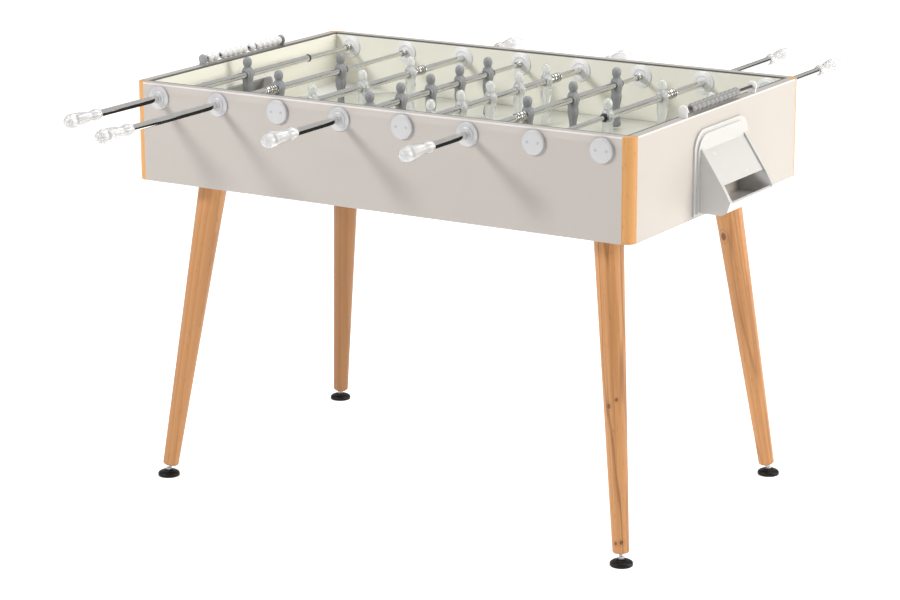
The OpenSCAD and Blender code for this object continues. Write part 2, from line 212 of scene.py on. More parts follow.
def speckle(paint, colour, amount, scale, vector=None):
    """A colour that drifts a little lighter and darker over the surface."""
    vector = vector or paint.place()
    drift = paint.noise(vector, scale, 4.0, 0.6)
    dark = tuple(c * (1 - amount) for c in colour)
    light = tuple(min(1.0, c * (1 + amount)) for c in colour)
    return paint.blend(drift.ramp(0.3, 0.7), dark, light)


def board(paint, colour, where, roughness):
    """The even, slightly dimpled skin of a painted or laminated board."""
    smudge = paint.noise(where, 7.0, 3.0)
    return paint.set(
        Base_Color=colour,
        Roughness=smudge * 0.10 + (roughness - 0.05),
        Normal=paint.bump(paint.noise(where, 900.0, 2.0), 0.00002, 0.5),
    )


def laminate(name, colour, roughness):
    """Board of one colour all round."""
    paint = Paint(name)
    where = paint.place()
    return board(paint, speckle(paint, colour, 0.02, 5.0, where), where, roughness)


def wall_laminate_lit_inside(name, outer, inner, roughness):
    """Board with the faces round the playfield painted paler: painted light, the inside lit
    more than the outside.
    """
    paint = Paint(name)
    where = paint.place()
    x, y, _ = paint.parts(where)
    # painted light: the faces round the playfield take the paler tone
    inside = (abs(x) < INNER.x + 0.001) * (abs(y) < INNER.y + 0.001)
    outer_tone, lit_inner_tone = (speckle(paint, c, 0.015, 5.0, where) for c in (outer, inner))
    return board(paint, paint.blend(inside, outer_tone, lit_inner_tone), where, roughness)


def moulded(name, colour, roughness, grain=0.00003, amount=0.03, **constants):
    """Moulded plastic with a fine spark-eroded skin."""
    paint = Paint(name, **constants)
    where = paint.place()
    skin = paint.noise(where, 1400.0, 2.0)
    smudge = paint.noise(where, 40.0, 3.0)
    return paint.set(
        Base_Color=speckle(paint, colour, amount, 60.0, where),
        Roughness=smudge * 0.12 + (roughness - 0.06),
        Normal=paint.bump(skin, grain, 0.6),
    )


def polished_steel(name, colour, roughness, along=(1, 1, 1)):
    """Bright steel with faint polishing marks."""
    paint = Paint(name, Metallic=1.0)
    marks = paint.noise(paint.place(scale=along), 600.0, 3.0)
    smudge = paint.noise(paint.place(), 18.0, 3.0)
    return paint.set(
        Base_Color=speckle(paint, colour, 0.04, 25.0),
        Roughness=smudge * 0.10 + marks * 0.06 + (roughness - 0.08),
        Normal=paint.bump(marks, 0.00001, 0.4),
    )


HEARTWOOD = (0.26, 0.115, 0.045)
KNOT = (0.12, 0.05, 0.02)


def timber(name, pale, deep, turn=(0, 0, 0), shift=(0, 0, 0), figure=0.1, knots=()):
    """Lacquered beech, its grain along the pattern's Z.

    Figure says how bold the grain is, from 0 to 1. Each knot is the (x, z, radius)
    of a small branch that runs along Y, in metres.
    """
    paint = Paint(name, Coat_Weight=0.04, Coat_Roughness=0.25, Specular_IOR_Level=0.3)
    where = paint.place(turn=turn, shift=shift)

    def stretched(amount):
        values = {"Vector": where, "Scale": (1.0, 1.0, amount)}
        return paint.node("ShaderNodeMapping", {}, values)

    long_grain = stretched(0.05)
    wander = paint.noise(long_grain, 9.0, 2.0)
    bands = paint.node(
        "ShaderNodeTexWave",
        {"wave_type": "BANDS", "bands_direction": "X", "wave_profile": "SAW"},
        {
            "Vector": long_grain,
            "Scale": 26.0,
            "Distortion": 4.0,
            "Detail": 3.0,
            "Detail Scale": 1.2,
            "Detail Roughness": 0.6,
        },
        1,
    )
    fibres = paint.noise(long_grain, 420.0, 3.0, 0.7)
    flecks = paint.noise(stretched(0.25), 260.0, 1.0)
    tone = (bands * 0.24 + wander * 0.6).clamp()
    colour = paint.blend(tone.ramp(0.25, 0.85), pale, deep)
    colour = paint.blend(fibres.ramp(0.52, 0.80) * 0.40, colour, deep)
    colour = paint.blend(flecks.ramp(0.64, 0.78) * 0.45, colour, HEARTWOOD)
    contour = abs(paint.noise(stretched(0.045), 30.0, 2.0) - 0.5)
    line = 1 - contour.ramp(0.0, 0.04)
    colour = paint.blend(line * (0.12 + 0.88 * figure), colour, HEARTWOOD)
    if figure > 0.3:
        streak = paint.noise(stretched(0.03), 55.0, 3.0, 0.6)
        colour = paint.blend(streak.ramp(0.52, 0.68) * 0.55 * figure, colour, deep)
    if knots:
        x, _, z = paint.parts(paint.place())
        bend = (wander - 0.5) * 0.006
    for knot_x, knot_z, radius in knots:
        aside = x + bend - knot_x
        above = (z + bend - knot_z) * 0.7
        away = (aside * aside + above * above) * (1 / radius**2)
        heart = 1 - away.ramp(0.5, 1.1)
        ring = 1 - abs(away - 2.4).ramp(0.0, 0.8)
        colour = paint.blend((heart + ring * 0.35).clamp() * 0.85, colour, KNOT)
    return paint.set(
        Base_Color=colour,
        Roughness=fibres * 0.15 + 0.36,
        Normal=paint.bump(fibres * 0.7 + flecks * 0.3, 0.00012, 0.5),
    )


def glassy_field():
    """Pale grey-green surface with a dark border, under a clear, glossy skin."""
    paint = Paint("playing_surface", Coat_Weight=0.15, Coat_Roughness=0.12)
    where = paint.place()
    x, y, _ = paint.parts(where)
    border = 0.0025
    edge = 1 - (abs(x) < INNER.x - border) * (abs(y) < INNER.y - border)
    smudge = paint.noise(where, 9.0, 3.0)
    sage = speckle(paint, (0.485, 0.490, 0.425), 0.03, 14.0, where)
    return paint.set(
        Base_Color=paint.blend(edge, sage, (0.16, 0.16, 0.14)),
        Roughness=smudge * 0.12 + 0.30,
        Normal=paint.bump(paint.noise(where, 60.0, 2.0), 0.0001, 0.15),
    )


def clear_plastic(name, colour, roughness, cloud, clarity):
    """Ice-clear moulding, faintly cloudy inside."""
    paint = Paint(name, IOR=1.46, Transmission_Weight=clarity)
    where = paint.place()
    smudge = paint.noise(where, 90.0, 3.0)
    return paint.set(
        Base_Color=speckle(paint, colour, 0.05, cloud, where),
        Roughness=smudge * 0.14 + roughness,
        Normal=paint.bump(paint.noise(where, 240.0, 2.0), 0.00008, 0.3),
    )


# outer tone, then the paler inner tone, which is painted light on the faces round the playfield
WALL = wall_laminate_lit_inside("white_laminate", (0.44, 0.405, 0.375), (0.80, 0.785, 0.70), 0.45)
BASE = laminate("base_laminate", (0.60, 0.58, 0.53), 0.5)
FIELD = glassy_field()
RAMP = laminate("ramp_laminate", (0.68, 0.68, 0.655), 0.35)
BEECH = timber("beech_strip", (0.59, 0.300, 0.102), (0.50, 0.238, 0.076))
CAP = laminate("rim_cap", (0.37, 0.35, 0.33), 0.4)
# the pale strip along the caps' outer edge: a painted highlight
CAP_HIGHLIGHT = laminate("rim_cap_side", (0.62, 0.58, 0.56), 0.4)
CAP_EDGE = laminate("rim_cap_edge", (0.10, 0.10, 0.09), 0.5)
GOAL = moulded("goal_grey", (0.80, 0.80, 0.79), 0.35)
BOX = moulded("ball_box_white", (0.50, 0.49, 0.48), 0.25, 0.00001, 0.01, Coat_Weight=0.2)
BEARING = moulded("bearing_pale", (0.455, 0.45, 0.46), 0.32, 0.00001, 0.02)
# the flanges inside the playfield: the same plastic painted paler, painted light
BEARING_LIT_INNER = moulded("bearing_inner", (0.76, 0.76, 0.77), 0.3, 0.00001, 0.02)
# the dimples: the same plastic painted darker, painted shade
BEARING_DIMPLE_SHADE = moulded("bearing_dimple", (0.36, 0.355, 0.36), 0.4, 0.00001, 0.02)
BLACK = moulded("black_nylon", (0.02, 0.02, 0.021), 0.4)
RUBBER = moulded("black_rubber", (0.004, 0.004, 0.004), 0.36, Specular_IOR_Level=0.2)
GREY_MAN = moulded("grey_men", (0.225, 0.232, 0.243), 0.45, 0.00006, 0.06)
CLEAR_MAN = clear_plastic("clear_men", (0.90, 0.915, 0.91), 0.16, 70.0, 0.66)
GRIP = clear_plastic("clear_grip", (0.86, 0.86, 0.87), 0.12, 30.0, 0.55)
WHITE_BEAD = moulded("bead_white", (0.64, 0.64, 0.645), 0.3)
DARK_BEAD = moulded("bead_dark", (0.20, 0.20, 0.20), 0.35)
BRACKET = moulded("bracket_grey", (0.30, 0.30, 0.305), 0.4)
BRACKET_PALE = moulded("bracket_pale", (0.72, 0.71, 0.70), 0.4)
CHROME = polished_steel("rod_steel", (0.74, 0.735, 0.71), 0.10, (1, 0.02, 1))
SPRING = polished_steel("spring_steel", (0.56, 0.55, 0.53), 0.14)
ZINC = polished_steel("zinc_steel", (0.60, 0.61, 0.62), 0.34)

# brightness of each leg's wood: back_left's 0.63 is painted shade, as if that leg stood in
# shade; the small steps on the others are tone
LEG_PAINTED_SHADE = {"front_left": 1.0, "front_right": 1.03, "back_left": 0.63, "back_right": 1.03}
LEG_FIGURE = {"front_left": 0.1, "front_right": 1.0, "back_left": 0.1, "back_right": 0.6}
LEG_KNOTS = {
    "front_right": (
        (0.515, 0.318, 0.0044),
        (0.529, 0.332, 0.0030),
        (0.549, 0.047, 0.0034),
        (0.560, 0.050, 0.0036),
    ),
    "back_right": ((0.482, 0.540, 0.0070),),
}
LEG = {
    corner: timber(
        "leg_" + corner,
        tuple(LEG_PAINTED_SHADE[corner] * c for c in (0.50, 0.247, 0.098)),
        tuple(LEG_PAINTED_SHADE[corner] * c for c in (0.32, 0.138, 0.048)),
        turn=(-sy * LEG_LEAN, sx * LEG_LEAN, 0),
        shift=(0.3 * k, 0.17 * k, 0.11 * k),
        figure=LEG_FIGURE[corner],
        knots=LEG_KNOTS.get(corner, ()),
    )
    for k, (corner, (sx, sy)) in enumerate(FEET.items())
}


# ---------------------------------------------------------------- meshes

def finish_mesh(mesh, name, materials, smooth=32.0):
    """One linked object from a mesh, with its materials and shading."""
    obj = bpy.data.objects.new(name, mesh)
    indices = [polygon.material_index for polygon in mesh.polygons]
    mesh.materials.clear()
    for material in materials:
        mesh.materials.append(material)
    mesh.polygons.foreach_set("material_index", indices)
    mesh.shade_smooth()
    mesh.set_sharp_from_angle(angle=math.radians(smooth))
    bpy.context.scene.collection.objects.link(obj)
    return obj


def from_bmesh(bm, name, materials, smooth=32.0, outward=True):
    """One object from a bmesh, its faces turned outwards unless told not to."""
    if outward:
        bmesh.ops.recalc_face_normals(bm, faces=bm.faces)
    return finish_mesh(as_mesh(bm, name), name, materials, smooth)


def as_mesh(bm, name):
    """A plain mesh from a bmesh, which is then let go."""
    mesh = bpy.data.meshes.new(name)
    bm.to_mesh(mesh)
    bm.free()
    return mesh


def lathe(bm, profile, matrix=Matrix(), segments=48, material=0, closed=False):
    """Turns a profile of (radius, height) points about Z; ends on the axis are capped."""
    rings = []
    for radius, height in profile:
        if radius <= 1e-9:
            rings.append([bm.verts.new(matrix @ Vector((0, 0, height)))])
            continue
        ring = []
        for k in range(segments):
            turn = 2 * math.pi * k / segments
            point = Vector((radius * math.cos(turn), radius * math.sin(turn), height))
            ring.append(bm.verts.new(matrix @ point))
        rings.append(ring)
    pairs = list(zip(rings, rings[1:]))
    if closed:
        pairs.append((rings[-1], rings[0]))
    for low, high in pairs:
        for k in range(segments):
            nxt = (k + 1) % segments
            if len(low) == 1:
                corners = [low[0], high[nxt], high[k]]
            elif len(high) == 1:
                corners = [low[k], low[nxt], high[0]]
            else:
                corners = [low[k], low[nxt], high[nxt], high[k]]
            bm.faces.new(corners).material_index = material


def rounded(points, steps=4):
    """A profile with a corner rounded wherever a point carries a radius."""
    out = []
    count = len(points)
    for i, point in enumerate(points):
        own = point[2] if len(point) > 2 else 0
        here = Vector(point[:2])
        if i in (0, count - 1) or own <= 0:
            out.append((here.x, here.y))
            continue
        before = Vector(points[i - 1][:2]) - here
        after = Vector(points[i + 1][:2]) - here
        cut = min(own, before.length * 0.49, after.length * 0.49)
        start = here + before.normalized() * cut
        end = here + after.normalized() * cut
        for k in range(steps + 1):
            t = k / steps
            p = start * (1 - t) ** 2 + here * 2 * t * (1 - t) + end * t * t
            out.append((p.x, p.y))
    return out


def mm(points):
    """Millimetre points as metres."""
    return [tuple(value * MM for value in point) for point in points]


def shift_z(distance):
    """A move along Z."""
    return Matrix.Translation((0, 0, distance))


def box_mesh(bm, low, high, material=0):
    """A closed box between two corners."""
    corners = [
        bm.verts.new((x, y, z))
        for z in (low[2], high[2])
        for y in (low[1], high[1])
        for x in (low[0], high[0])
    ]
    faces = [
        (0, 2, 3, 1),
        (4, 5, 7, 6),
        (0, 1, 5, 4),
        (2, 6, 7, 3),
        (0, 4, 6, 2),
        (1, 3, 7, 5),
    ]
    for face in faces:
        bm.faces.new([corners[i] for i in face]).material_index = material


def soften(obj, width, angle):
    """Rounds an object's sharp edges."""
    bevel = obj.modifiers.new("rounded edges", "BEVEL")
    bevel.width = width
    bevel.segments = 3
    bevel.limit_method = "ANGLE"
    bevel.angle_limit = math.radians(angle)
    bevel.harden_normals = False
    return settle(obj)


def settle(obj):
    """Turns an object with modifiers into the plain mesh they make."""
    graph = bpy.context.evaluated_depsgraph_get()
    graph.update()
    mesh = bpy.data.meshes.new_from_object(obj.evaluated_get(graph), depsgraph=graph)
    old = obj.data
    obj.modifiers.clear()
    obj.data = mesh
    if old.users == 0:
        bpy.data.meshes.remove(old)
    mesh.name = obj.name
    return obj


def place(obj, body, node):
    """The piece rides on a body and stands for a CAD node, which it hides."""
    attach(obj, body)
    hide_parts(node)
    return obj


# ---------------------------------------------------------------- node trees

class Tree:
    """A geometry node tree with named inputs."""

    def __init__(self, name, **inputs):
        self.group = bpy.data.node_groups.new(name, "GeometryNodeTree")
        face = self.group.interface
        face.new_socket("Geometry", in_out="OUTPUT", socket_type="NodeSocketGeometry")
        self.names = {}
        for key, (kind, value) in inputs.items():
            made = face.new_socket(
                key.replace("_", " "), in_out="INPUT", socket_type="NodeSocket" + kind
            )
            if kind in ("Float", "Int", "Vector"):
                made.default_value = value
            self.names[key] = made.identifier
        self.entry = self.group.nodes.new("NodeGroupInput")
        self.exit = self.group.nodes.new("NodeGroupOutput")

    def given(self, key):
        """The socket that brings a named input into the tree."""
        return next(s for s in self.entry.outputs if s.identifier == self.names[key])

    def add(self, kind, settings=None, values=None, out=0):
        made = self.group.nodes.new(kind)
        for key, value in (settings or {}).items():
            setattr(made, key, value)
        for key, value in (values or {}).items():
            if isinstance(value, bpy.types.NodeSocket):
                self.group.links.new(value, made.inputs[key])
            else:
                made.inputs[key].default_value = value
        return made.outputs[out]

    def finish(self, geometry, material):
        """Makes the instances real and gives them their material."""
        real = self.add("GeometryNodeRealizeInstances", None, {"Geometry": geometry})
        done = self.add(
            "GeometryNodeSetMaterial", None, {"Geometry": real, "Material": material}
        )
        self.group.links.new(done, self.exit.inputs[0])

    def run(self, name, **values):
        """The mesh the tree makes with these inputs."""
        host = bpy.data.objects.new(name, bpy.data.meshes.new(name))
        bpy.context.scene.collection.objects.link(host)
        modifier = host.modifiers.new("tree", "NODES")
        modifier.node_group = self.group
        for key, value in values.items():
            modifier[self.names[key]] = value
        graph = bpy.context.evaluated_depsgraph_get()
        graph.update()
        mesh = bpy.data.meshes.new_from_object(host.evaluated_get(graph), depsgraph=graph)
        bpy.data.objects.remove(host)
        mesh.name = name
        return mesh


def coil_tree():
    """A round wire wound along +Z from the origin."""
    tree = Tree(
        "coil",
        Turns=("Float", 6.0),
        Radius=("Float", 0.0085),
        Wire=("Float", 0.0012),
        Length=("Float", 0.045),
        Material=("Material", None),
    )
    spiral = tree.add(
        "GeometryNodeCurveSpiral",
        None,
        {
            "Resolution": 26,
            "Rotations": tree.given("Turns"),
            "Start Radius": tree.given("Radius"),
            "End Radius": tree.given("Radius"),
            "Height": tree.given("Length"),
        },
    )
    wire = tree.add(
        "GeometryNodeCurvePrimitiveCircle",
        {"mode": "RADIUS"},
        {"Resolution": 10, "Radius": tree.given("Wire")},
    )
    swept = tree.add(
        "GeometryNodeCurveToMesh",
        None,
        {"Curve": spiral, "Profile Curve": wire, "Fill Caps": True},
    )
    tree.finish(swept, tree.given("Material"))
    return tree


def row_tree():
    """Copies of one piece along Y, evenly spaced from Start."""
    tree = Tree(
        "row",
        Piece=("Object", None),
        Count=("Int", 3),
        Start=("Vector", (0, 0, 0)),
        Step=("Vector", (0, 0.1, 0)),
        Material=("Material", None),
    )
    line = tree.add(
        "GeometryNodeMeshLine",
        {"mode": "OFFSET"},
        {
            "Count": tree.given("Count"),
            "Start Location": tree.given("Start"),
            "Offset": tree.given("Step"),
        },
    )
    piece = tree.add(
        "GeometryNodeObjectInfo",
        {"transform_space": "ORIGINAL"},
        {"Object": tree.given("Piece")},
        "Geometry",
    )
    copies = tree.add(
        "GeometryNodeInstanceOnPoints", None, {"Points": line, "Instance": piece}
    )
    tree.finish(copies, tree.given("Material"))
    return tree


COIL = coil_tree()
ROW = row_tree()


def merged(name, meshes, materials, smooth=32.0):
    """One object from (mesh, matrix, material index) parts; None keeps a part's own."""
    bm = bmesh.new()
    for mesh, matrix, index in meshes:
        part = bmesh.new()
        part.from_mesh(mesh)
        if index is not None:
            for face in part.faces:
                face.material_index = index
        part.transform(matrix)
        spare = as_mesh(part, "part")
        bm.from_mesh(spare)
        bpy.data.meshes.remove(spare)
    return from_bmesh(bm, name, materials, smooth, outward=False)


def row_of(piece, count, start, step, material, name):
    """Copies of a piece from start, step apart, as one plain mesh."""
    return ROW.run(
        name, Piece=piece, Count=count, Start=start, Step=step, Material=material
    )


# ---------------------------------------------------------------- CAD nodes kept

def dress(node, material):
    """Gives a CAD node its material."""
    mesh = frame["nodes"][node].data
    mesh.materials.clear()
    mesh.materials.append(material)
    for polygon in mesh.polygons:
        polygon.material_index = 0


def box_of(node):
    """The low and high corners of a CAD node."""
    low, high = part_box(node)
    return Vector(low), Vector(high)


for wall in ("near_side", "far_side", "left_end", "right_end"):
    dress(wall, WALL)
dress("underframe", BASE)
dress("playfield", FIELD)
dress("field_ramps", RAMP)
dress("leg_plates", ZINC)
dress("corner_strips", BEECH)
for corner in FEET:
    dress("leg_" + corner, LEG[corner])


# ---------------------------------------------------------------- edge caps

def build_rim():
    """Caps on the wall tops: grey above, a dark line at the inner edge and a pale strip at the
    outer edge, which is a painted highlight.
    """
    low, high = box_of("rim_trim")
    strip = box_of("near_side")[1].x
    line, side = 0.005, 0.001
    bm = bmesh.new()
    for turned in (False, True):
        reach = INNER.y if turned else strip
        inner = INNER.x if turned else INNER.y
        outer = high.x if turned else high.y
        bands = (
            (inner, inner + line, 1),
            (inner + line, outer - side, 0),
            # the outer strip is a painted highlight
            (outer - side, outer, 2),
        )
        for sign in (-1, 1):
            for start, stop, material in bands:
                near, far = sorted((sign * start, sign * stop))
                if turned:
                    corners = (near, -reach, low.z), (far, reach, high.z)
                else:
                    corners = (-reach, near, low.z), (reach, far, high.z)
                box_mesh(bm, *corners, material)
    rim = from_bmesh(bm, "edge_caps", [CAP, CAP_EDGE, CAP_HIGHLIGHT])
    return place(rim, "table", "rim_trim")


# ---------------------------------------------------------------- bearings

# profiles of (radius, height, corner radius), millimetres from the wall's face
FLANGE_RIM = [(23.4, 3.4, 1.0), (25.0, 2.4, 1.0), (25.0, 0)]
FLANGE_STEP = [(15.8, 4.3, 0.6), (16.6, 5.4, 0.6), (18.2, 5.4, 0.6), (19.0, 4.0, 0.6)]
OPEN_FLANGE = mm([
    (7.6, 0), (7.6, 13), (10.5, 13, 0.8), (11.6, 8.6, 1.5), (16.2, 7.6, 1.0),
    (17.0, 5.2, 1.2), (23.4, 4.6, 1.2), (25.0, 3.2, 1.2), (25.0, 0),
])
OPEN_INSIDE = mm(
    [(7.6, 0), (7.6, 6), (10.4, 6, 0.6), (11.2, 4.3, 0.6), *FLANGE_STEP, *FLANGE_RIM]
)
CLOSED_INSIDE = mm(
    [(5.1, 0), (5.1, 6), (9.4, 6, 0.6), (10.2, 4.3, 0.6), *FLANGE_STEP, *FLANGE_RIM]
)
CLOSED_CAP = mm([
    (0, 8), (20.5, 8), (21.2, 7.4, 0.4), (22.4, 7.8, 0.6), (25.0, 6.6, 1.6), (25.0, 0),
])
CAP_TOP = 0.008
DIMPLE = mm([(0, 0.25), (1.9, 0.25), (2.5, 0.0), (2.9, 0.15), (3.2, 0.02)])
DIMPLE_OUT = 0.012


def build_bearings():
    """The flanges and closed caps of all sixteen rod bearings."""
    wall_out = box_of("far_side")[1].y
    bm = bmesh.new()
    for n in RODS:
        here = rod_matrix(n)
        back = here @ Matrix.Rotation(math.pi, 4, "X")
        lathe(bm, rounded(OPEN_FLANGE, 3), here @ shift_z(wall_out))
        # the flanges inside the playfield take the paler copy, painted light
        lathe(bm, rounded(OPEN_INSIDE, 3), turned_in(here, INNER.y), material=2)
        lathe(bm, rounded(CLOSED_INSIDE, 3), turned_in(back, INNER.y), material=2)
        lathe(bm, rounded(CLOSED_CAP, 3), back @ shift_z(wall_out))
        # the dimples take the darker copy, painted shade
        for side in (-1, 1):
            spot = Matrix.Translation((side * DIMPLE_OUT, 0, wall_out + CAP_TOP))
            lathe(bm, DIMPLE, back @ spot, 20, 1)
    materials = [BEARING, BEARING_DIMPLE_SHADE, BEARING_LIT_INNER]
    bearings = from_bmesh(bm, "rod_bearings_visible", materials, 28.0)
    return place(bearings, "table", "rod_bearings")


def turned_in(matrix, distance):
    """A frame on the inner wall face, its Z pointing back to the middle."""
    return matrix @ shift_z(distance) @ Matrix.Rotation(math.pi, 4, "X")


# ---------------------------------------------------------------- rods

def hand(n):
    """-1 where rod n's handle is at the front, 1 where it is at the back."""
    return 1 if JOINTS[f"push_rod_{n}"]["axis"][1] > 0 else -1


def rod_matrix(n):
    """Rod n's own frame: Z along the rod towards its handle."""
    centre = Matrix.Translation(Vector(JOINTS[f"turn_rod_{n}"]["pos_m"]))
    return centre @ Matrix.Rotation(math.radians(-90 * hand(n)), 4, "X")


def along(n, node):
    """Where a rod's node starts and ends along the rod, towards the handle."""
    low, high = box_of(node)
    side = hand(n)
    return tuple(sorted((low.y * side, high.y * side)))


def build_inner_rod(n):
    """The rod that turns in the bearings: end collar, guide tip and small spring."""
    start, end = along(n, f"rod_{n}_inner")
    here = rod_matrix(n)
    bm = bmesh.new()
    collar = start + 0.0037
    steel = [
        (0, start),
        (TUBE_R, start),
        (TUBE_R, collar),
        (ROD_R, collar + 0.0001),
        (ROD_R, end - 0.0005),
        (ROD_R - 0.0005, end),
        (0, end),
    ]
    lathe(bm, steel, here, 32)
    tip_low, tip_high, tip_r = end - 0.012, end - 0.0001, TUBE_BORE - 0.00005
    tip = [
        (ROD_R + RUNNING_GAP, tip_low),
        (tip_r - 0.00035, tip_low),
        (tip_r, tip_low + 0.0005),
        (tip_r, tip_high - 0.0004),
        (tip_r - 0.00035, tip_high),
        (ROD_R + RUNNING_GAP, tip_high),
    ]
    lathe(bm, tip, here, 32, 1, closed=True)
    rod = as_mesh(bm, "rod")
    spring = COIL.run(
        "small_spring", Turns=5.0, Radius=0.0065, Wire=0.0009, Length=0.0155, Material=SPRING
    )
    bearing_face = 0.0063 - INNER.y
    parts = [(rod, Matrix(), None), (spring, here @ shift_z(bearing_face + 0.001), 2)]
    piece = merged(f"inner_rod_{n}", parts, [CHROME, BLACK, SPRING])
    return place(piece, f"rod_{n}_core", f"rod_{n}_inner")


def build_tube(n):
    """The sliding tube with its black end bush and the stop spring behind the men."""
    low, high = along(n, f"rod_{n}_tube")
    men_low, men_high = along(n, f"rod_{n}_men")
    here = rod_matrix(n)
    bush_end = low + 0.005
    edge = 0.0003
    bm = bmesh.new()
    steel = [
        (TUBE_BORE, bush_end),
        (TUBE_R - edge, bush_end),
        (TUBE_R, bush_end + edge),
        (TUBE_R, high - edge),
        (TUBE_R - edge, high),
        (TUBE_BORE, high),
    ]
    lathe(bm, steel, here, 40, 0, closed=True)
    bush = [
        (ROD_R + RUNNING_GAP, low),
        (0.0078, low),
        (0.0085, low + 0.0007),
        (0.0085, bush_end - 0.0006),
        (0.0081, bush_end - RUNNING_GAP),
        (ROD_R + RUNNING_GAP, bush_end - RUNNING_GAP),
    ]
    lathe(bm, bush, here, 40, 1, closed=True)
    tube = as_mesh(bm, "tube")
    lone_man_to_spring = 0.211
    start = men_high if MEN_ON[n] > 1 else men_low + HUB_HALF + lone_man_to_spring
    spring = COIL.run(
        "stop_spring", Turns=5.5, Radius=0.00855, Wire=0.00145, Length=0.0414, Material=SPRING
    )
    parts = [(tube, Matrix(), None), (spring, here @ shift_z(start + 0.0013), 2)]
    piece = merged(f"tube_{n}", parts, [CHROME, BLACK, SPRING])
    return place(piece, f"rod_{n}", f"rod_{n}_tube")


HANDLE = mm([
    (7.5, 0), (9.5, 0, 0.4), (9.8, 0.8, 0.5), (9.8, 5.6, 0.8), (12.2, 9.6, 1.6),
    (12.7, 13.2, 3.0), (11.6, 19, 4), (10.1, 27, 6), (10.0, 33, 6), (11.8, 45, 8),
    (14.2, 62, 10), (15.4, 77, 10), (15.3, 89, 8), (13.4, 98, 6), (9.6, 103.6, 4),
    (4.5, 106, 2), (0, 106),
])
FLATS = 6
FLAT_DEPTH = 0.035
FLATS_START, FLATS_END = 0.030, 0.104
FLATS_RISE, FLATS_FALL = 0.030, 0.012


def build_handle(n):
    """The clear grip, with shallow flats down its bulb."""
    start, _ = along(n, f"rod_{n}_handle")
    bm = bmesh.new()
    lathe(bm, rounded(HANDLE, 5), Matrix(), 72)
    for vert in bm.verts:
        rise = min(1.0, max(0.0, (vert.co.z - FLATS_START) / FLATS_RISE))
        fall = min(1.0, max(0.0, (FLATS_END - vert.co.z) / FLATS_FALL))
        turn = math.atan2(vert.co.y, vert.co.x)
        ease = 1 - FLAT_DEPTH * rise * fall * (0.5 - 0.5 * math.cos(FLATS * turn))
        vert.co.x *= ease
        vert.co.y *= ease
    bm.transform(rod_matrix(n) @ shift_z(start))
    piece = from_bmesh(bm, f"handle_{n}", [GRIP], 45.0)
    return place(piece, f"rod_{n}", f"rod_{n}_handle")


# ---------------------------------------------------------------- men

# (height, half width, half depth) of a player, millimetres from the rod axis
BODY = [
    (17.6, 6.0, 5.8),
    (15.6, 7.0, 6.8),
    (13.6, 8.8, 8.6),
    (10.6, 10.6, 10.8),
    (6.0, 11.4, 12.2),
    (0.5, 11.4, 12.8),
    (-5.5, 11.4, 12.4),
    (-11.0, 11.2, 11.2),
    (-16.0, 10.7, 9.9),
    (-19.0, 10.6, 9.5),
    (-22.5, 11.2, 10.2),
    (-28.0, 11.4, 10.4),
    (-34.0, 10.6, 9.4),
    (-42.0, 9.0, 7.8),
    (-50.0, 7.6, 6.7),
    (-60.0, 7.0, 6.2),
    (-70.0, 7.0, 6.5),
    (-78.0, 7.5, 8.6),
    (-82.5, 8.2, 10.2),
    (-90.5, 8.4, 10.2),
]
HEAD = [
    (13.0, 6.0, 6.0),
    (15.6, 6.3, 6.3),
    (17.4, 7.6, 7.7),
    (20.4, 9.2, 9.4),
    (25.0, 10.0, 10.1),
    (29.5, 9.8, 9.9),
    (33.4, 8.4, 8.6),
    (36.2, 5.8, 6.0),
    (37.6, 2.8, 3.0),
]


def loft(bm, sections, points, power, top, bottom, creased=False):
    """Rings of rounded rectangles joined up and closed with a point at each end.

    Creased sections part the legs with a groove and the arms with two shallower ones.
    """
    rings = []
    for z, wide, deep in sections:
        legs = 0.30 if creased and -80 < z < -30 else 0.0
        arms = 0.10 if creased and -18 < z < 12 else 0.0
        ring = []
        for k in range(points):
            t = 2 * math.pi * k / points
            c, s = math.cos(t), math.sin(t)
            y = wide * math.copysign(abs(s) ** power, s)
            x = deep * math.copysign(abs(c) ** power, c)
            x *= 1 - legs * math.exp(-((y / 1.8) ** 2))
            x *= 1 - arms * math.exp(-(((abs(y) - 7.5) / 1.4) ** 2))
            ring.append(bm.verts.new((x * MM, y * MM, z * MM)))
        rings.append(ring)
    for upper, lower in zip(rings, rings[1:]):
        for k in range(points):
            nxt = (k + 1) % points
            bm.faces.new((upper[k], lower[k], lower[nxt], upper[nxt]))
    for ring, z in ((rings[0], top), (rings[-1], bottom)):
        centre = bm.verts.new((0, 0, z * MM))
        for k in range(points):
            bm.faces.new((ring[k], ring[(k + 1) % points], centre))


HUB_EDGE = [(9.4, 0), (10.2, 0.5), (10.6, 2.0)]
SET_SCREW = mm([(0, 0.4), (1.6, 0.4), (1.9, 0.6), (2.6, 0.6), (3.1, 0.0)])


def build_hub():
    """The collar that holds a man on the tube, with the head of its set screw."""
    half = HUB_HALF / MM
    bore = TUBE_R / MM + 0.1
    lower = [(r, z - half) for r, z in HUB_EDGE]
    upper = [(r, half - z) for r, z in reversed(HUB_EDGE)]
    profile = mm([(bore, 0.4 - half), *lower, *upper, (bore, half - 0.4)])
    bm = bmesh.new()
    lathe(bm, profile, Matrix.Rotation(math.radians(90), 4, "X"), 48, closed=True)
    screw = Matrix.Translation((0.0122, 0, 0)) @ Matrix.Rotation(math.radians(90), 4, "Y")
    lathe(bm, SET_SCREW, screw, 20)
    bmesh.ops.recalc_face_normals(bm, faces=bm.faces)
    return as_mesh(bm, "hub")


